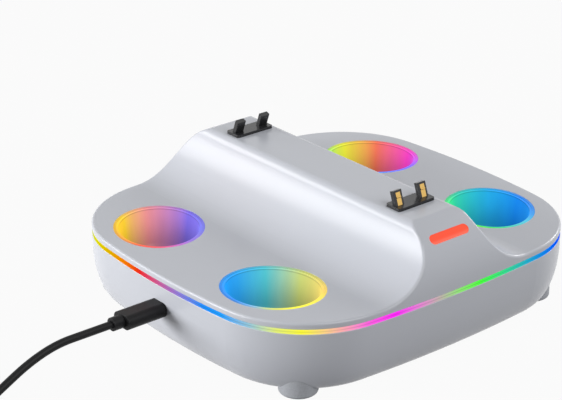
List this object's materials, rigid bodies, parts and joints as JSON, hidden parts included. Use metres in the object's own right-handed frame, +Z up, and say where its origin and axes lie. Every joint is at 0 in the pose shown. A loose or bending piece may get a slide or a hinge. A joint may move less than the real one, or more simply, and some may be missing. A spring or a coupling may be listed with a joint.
{
  "type": "controller charging dock",
  "caption": "Rounded desk dock with oval lit grip cups either side of a central ridge with charging contacts, a light band round its body and a USB lead.",
  "frame": {"origin": "on the table, under the middle of the body", "axes": "+X to the right along the body's length, +Y to the rear, +Z up from the table"},
  "size_m": [0.3477, 0.1977, 0.0734],
  "materials": {
    "body_plastic": "fine satin texture",
    "light_ring": "clear, lit in many colours",
    "cup_plastic": "clear, lit in many colours",
    "indicator": "lit orange red",
    "block_black": "fine texture",
    "contact_metal": "gold plated",
    "foot_silicone": "matt",
    "board": "solder mask",
    "chip": "moulded",
    "lamp": "clear lens",
    "can_metal": "drawn",
    "plug_metal": "plated sheet",
    "wire": "insulation",
    "cord_black": "matt",
    "tie_fabric": "hook and loop strap"
  },
  "bodies": {
    "root": {"board_screws": "plug_metal", "bottom_shell": "body_plastic", "capacitors": "can_metal", "case_screws": "plug_metal", "charge_chip": "chip", "cord_coil": "cord_black", "cord_run": "cord_black", "cord_sleeve": "cord_black", "cord_tail": "cord_black", "cord_tie": "tie_fabric", "cup_lamps": "lamp", "cup_wires": "wire", "front_contact_block": "block_black", "front_contact_wires": "wire", "front_indicator_board": "board", "front_indicator_lamps": "lamp", "front_indicator_lens": "indicator", "front_indicator_wires": "wire", "front_leaf_contacts": "contact_metal", "front_left_cup": "cup_plastic", "front_left_foot": "foot_silicone", "front_left_lamp_board": "board", "front_right_cup": "cup_plastic", "front_right_foot": "foot_silicone", "front_right_lamp_board": "board", "lamp_strip": "board", "light_chip": "chip", "light_ring": "light_ring", "main_board": "board", "plug_grip": "cord_black", "plug_tip": "plug_metal", "power_coils": "chip", "rear_contact_block": "block_black", "rear_contact_wires": "wire", "rear_indicator_board": "board", "rear_indicator_lamps": "lamp", "rear_indicator_lens": "indicator", "rear_indicator_wires": "wire", "rear_leaf_contacts": "contact_metal", "rear_left_cup": "cup_plastic", "rear_left_foot": "foot_silicone", "rear_left_lamp_board": "board", "rear_right_cup": "cup_plastic", "rear_right_foot": "foot_silicone", "rear_right_lamp_board": "board", "ring_lamps": "lamp", "socket_shell": "plug_metal", "socket_tongue": "chip", "strip_wires": "wire", "supply_grip": "cord_black", "supply_shell": "plug_metal", "supply_sleeve": "cord_black", "supply_tongue": "chip", "top_shell": "body_plastic"}
  },
  "joints": []
}
